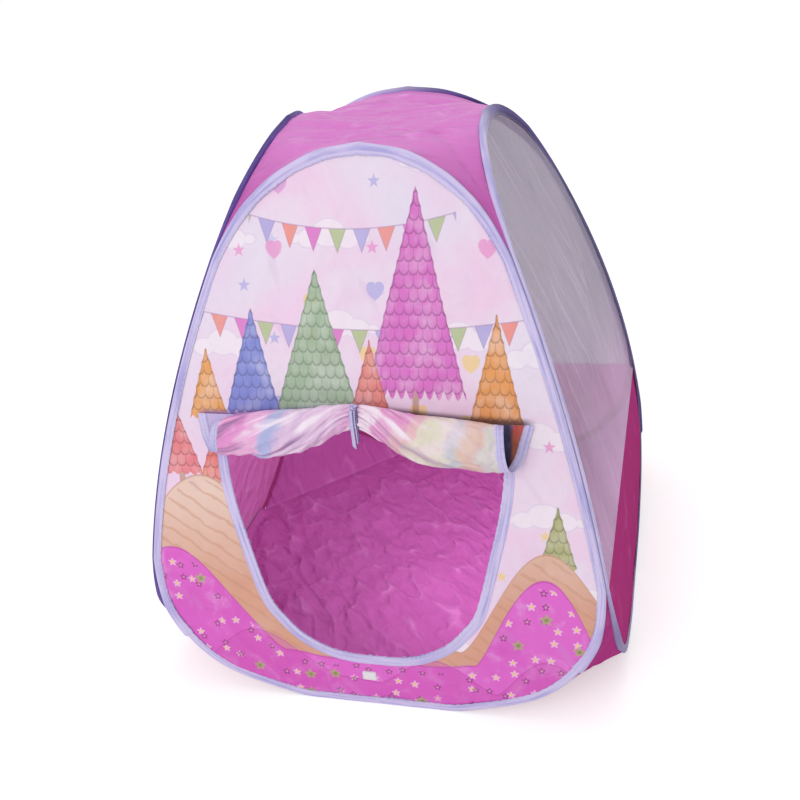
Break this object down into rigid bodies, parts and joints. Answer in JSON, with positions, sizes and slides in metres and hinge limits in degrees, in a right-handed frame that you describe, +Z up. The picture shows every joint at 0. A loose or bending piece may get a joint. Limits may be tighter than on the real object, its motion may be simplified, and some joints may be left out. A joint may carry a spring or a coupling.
{
  "type": "pop-up play tent",
  "caption": "Child's pop-up play tent: sprung wire loops in tape sleeves, printed front panel with a doorway whose flap is rolled and tied, net sides, fabric crown and floor.",
  "frame": {"origin": "centre of the floor's underside, on the ground", "axes": "+Z up, -Y out of the front panel and its doorway, +X to the right as seen facing the doorway"},
  "size_m": [0.7252, 0.7252, 0.8012],
  "materials": {
    "spring_steel": "bare sprung steel wire, sealed inside the sleeves",
    "zinc_crimp": "crimped zinc-plated ferrule",
    "lavender_tape": "woven polyester bias tape, matte",
    "printed_taffeta": "printed polyester taffeta, slight sheen",
    "grey_net": "fine polyester net, see-through",
    "magenta_taffeta": "plain polyester taffeta, slight sheen",
    "pink_taffeta": "plain polyester taffeta, slight sheen",
    "white_hook_tape": "woven hook-and-loop tape"
  },
  "bodies": {
    "frame_front": {"front_wire_loop": "spring_steel", "front_wire_ferrule": "zinc_crimp", "front_loop_sleeve": "lavender_tape", "right_wire_loop": "spring_steel", "right_wire_ferrule": "zinc_crimp", "right_loop_sleeve": "lavender_tape", "left_wire_loop": "spring_steel", "left_wire_ferrule": "zinc_crimp", "left_loop_sleeve": "lavender_tape", "right_net_panel": "grey_net", "right_lower_band": "magenta_taffeta", "left_net_panel": "grey_net", "left_lower_band": "magenta_taffeta", "front_panel": "printed_taffeta", "door_binding": "lavender_tape", "closure_patch": "white_hook_tape", "crown": "pink_taffeta", "groundsheet": "magenta_taffeta", "front_right_gusset": "magenta_taffeta", "back_right_gusset": "magenta_taffeta", "back_left_gusset": "magenta_taffeta", "front_left_gusset": "magenta_taffeta"},
    "back_panel": {"back_wire_loop": "spring_steel", "back_wire_ferrule": "zinc_crimp", "back_loop_sleeve": "lavender_tape", "back_net_panel": "grey_net", "back_lower_band": "magenta_taffeta"},
    "door_roll": {"door_flap": "printed_taffeta", "door_flap_binding": "lavender_tape", "flap_patch": "white_hook_tape", "tie_band": "lavender_tape", "tie_knot": "lavender_tape", "tie_tail_left": "lavender_tape", "tie_tail_right": "lavender_tape"}
  },
  "joints": [
    {"name": "fold", "type": "hinge", "parent": "frame_front", "child": "back_panel", "pos_m": [0, 0.148, 0.798], "axis": [-1, 0, 0], "range_deg": [0, 42], "stiffness_Nm_per_rad": 3, "springref_deg": -22.92, "deforming": ["right_wire_loop", "right_wire_ferrule", "right_loop_sleeve", "right_net_panel", "right_lower_band", "left_wire_loop", "left_wire_ferrule", "left_loop_sleeve", "left_net_panel", "left_lower_band", "crown", "groundsheet", "front_right_gusset", "back_right_gusset", "back_left_gusset", "front_left_gusset"]},
    {"name": "roll_lift", "type": "hinge", "parent": "frame_front", "child": "door_roll", "pos_m": [0, -0.28681, 0.45892], "axis": [-1, 0, 0], "range_deg": [0, 20]}
  ]
}
